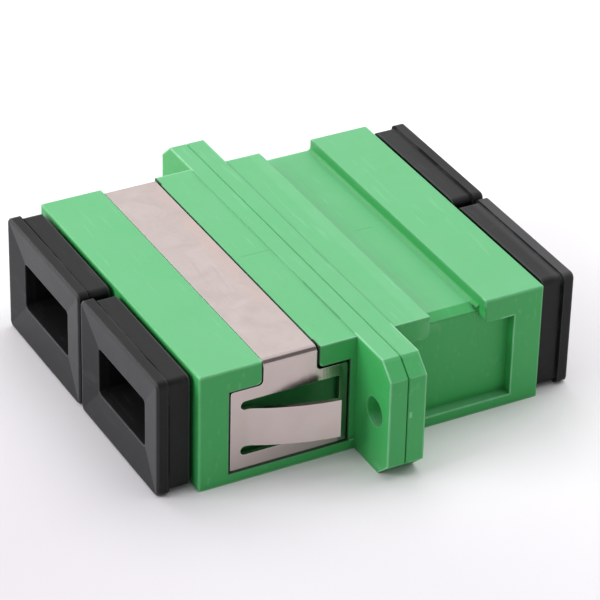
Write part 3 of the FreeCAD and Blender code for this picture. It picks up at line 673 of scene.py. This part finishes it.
# -------------------------------------------------------------- dust caps ---
# The dust caps are moulded in soft black PVC, satin with a slight bloom. Each
# has a broad lip with a finger recess, and a plug that grips its port.
CHARCOAL = (0.0085, 0.0085, 0.0090, 1)
CHARCOAL_DEEP = (0.0055, 0.0055, 0.0058, 1)
CHARCOAL_BLOOM_AND_SHEEN = (0.060, 0.060, 0.062, 1)
CHARCOAL_RIM = (0.115, 0.115, 0.118, 1)
CHARCOAL_SIDE = (0.002, 0.002, 0.002, 1)
CHARCOAL_GROOVE_SHADOW = (0.001, 0.001, 0.001, 1)
CHARCOAL_ROUGHNESS = (0.40, 0.58)
CHARCOAL_RELIEF = (0.45, 0.02 * MM)
CAP_SCUFFS = 0.25
CAP_SPECKS = 0.3
CAP_SIDE_SHADE = 0.8
CAP_SIDE_SHARPNESS = 6.0
LIP_FACE_SHARPNESS = 8.0
CAP_WEAR_AND_HIGHLIGHT = 0.6
GROOVE_PATCH_START = 0.44
GROOVE_PATCH_GAIN = 9.0
GROOVE_SHADOW_STRENGTH = 0.9
GROOVE_ROUGHNESS = 0.4
REAR_TOP_SHEEN = 0.16
LIP_SHEEN = 0.4
LIP_FACE_Y = 16.3 * MM
LIP_BACK_Y = 15.66 * MM
LIP_BACK_BAND = 0.11 * MM
FACE_SHEEN_LEVEL = 0.31
FACE_SHEEN_TILT_X = -2.4
FACE_SHEEN_TILT_Z = -1.5
SHEENED_LIP = ((6.6, 16.25, 8.6), (5.6, 0.4, 0.6), 0.9)

black_plastic, tree, cap = new_material("black_plastic")
cap.inputs["IOR"].default_value = 1.5
cap.inputs["Specular IOR Level"].default_value = 0.25
texture = placed_group(tree, mould_texture, Grain_Scale=4600.0, Flow_Scale=210.0)
edges = placed_group(tree, edge_masks, Reach=0.14 * MM, Break_Up=0.7)
place = axes_of(tree, object_place(tree))
lie = axes_of(tree, tree.nodes.new("ShaderNodeNewGeometry").outputs["Normal"])
tone = blended(tree, texture["Flow"], CHARCOAL_DEEP, CHARCOAL)
tone = tinted(tree, tone, texture["Scuffs"], CAP_SCUFFS, CHARCOAL_BLOOM_AND_SHEEN)
tone = tinted(tree, tone, texture["Specks"], CAP_SPECKS, CHARCOAL_BLOOM_AND_SHEEN)
# The sideways faces of the caps get painted shade.
sideways = maths(tree, "POWER", maths(tree, "ABSOLUTE", lie["X"]), CAP_SIDE_SHARPNESS)
tone = tinted(tree, tone, sideways, CAP_SIDE_SHADE, CHARCOAL_SIDE)

# The faces of the lips get a painted sheen, most on the slopes above the
# recess and on its near side.
outward = maths(tree, "POWER", maths(tree, "ABSOLUTE", lie["Y"]), LIP_FACE_SHARPNESS)
lengthways = maths(tree, "ABSOLUTE", place["Y"])
outermost = maths(tree, "GREATER_THAN", lengthways, LIP_FACE_Y)
outward = maths(tree, "MULTIPLY", outward, outermost)
tilt = maths(
    tree, "ADD", maths(tree, "MULTIPLY", lie["X"], FACE_SHEEN_TILT_X),
    maths(tree, "MULTIPLY", lie["Z"], FACE_SHEEN_TILT_Z))
tilt = maths(tree, "ADD", tilt, FACE_SHEEN_LEVEL, clamp=True)
tone = blended(tree, maths(tree, "MULTIPLY", outward, tilt), tone, CHARCOAL_BLOOM_AND_SHEEN)

# Corners are painted grey, partly as wear and partly as a painted highlight,
# but not in the groove behind the lip, which carries a painted shadow in places.
groove = maths(tree, "SUBTRACT", lengthways, LIP_BACK_Y)
groove = maths(tree, "LESS_THAN", maths(tree, "ABSOLUTE", groove), LIP_BACK_BAND)
worn_and_lit = maths(tree, "MULTIPLY", edges["Wear And Highlight"], CAP_WEAR_AND_HIGHLIGHT)
worn_and_lit = maths(tree, "MULTIPLY", worn_and_lit, maths(tree, "SUBTRACT", 1.0, groove))
tone = blended(tree, worn_and_lit, tone, CHARCOAL_RIM)
patchy = maths(tree, "SUBTRACT", texture["Flow"], GROOVE_PATCH_START)
patchy = maths(tree, "MULTIPLY", patchy, GROOVE_PATCH_GAIN, clamp=True)
groove = maths(tree, "MULTIPLY", groove, patchy)
tone = tinted(tree, tone, groove, GROOVE_SHADOW_STRENGTH, CHARCOAL_GROOVE_SHADOW)

# The tops of the rear caps get a painted sheen, and one lip most of all.
at_rear = maths(tree, "GREATER_THAN", place["Y"], 0.0)
rear_top = maths(tree, "MULTIPLY", lie["Z"], at_rear, clamp=True)
tone = tinted(tree, tone, rear_top, REAR_TOP_SHEEN, CHARCOAL_BLOOM_AND_SHEEN)
lip_sheen_mask = maths(tree, "MULTIPLY", at_place(tree, *SHEENED_LIP), rear_top)
tone = tinted(tree, tone, lip_sheen_mask, LIP_SHEEN, CHARCOAL_RIM)
feed(tree, cap.inputs["Base Color"], tone)
gloss = ramp(tree, texture["Flow"], WHOLE, CHARCOAL_ROUGHNESS)
dulled = maths(tree, "MULTIPLY", groove, GROOVE_ROUGHNESS)
feed(tree, cap.inputs["Roughness"], maths(tree, "ADD", gloss, dulled))
pressed(tree, cap, texture["Grain"], *CHARCOAL_RELIEF, edges["Soft Normal"])

for end in ("front", "rear"):
    for side in ("left", "right"):
        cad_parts[f"dust_cap_{end}_{side}"].material_slots[0].material = black_plastic
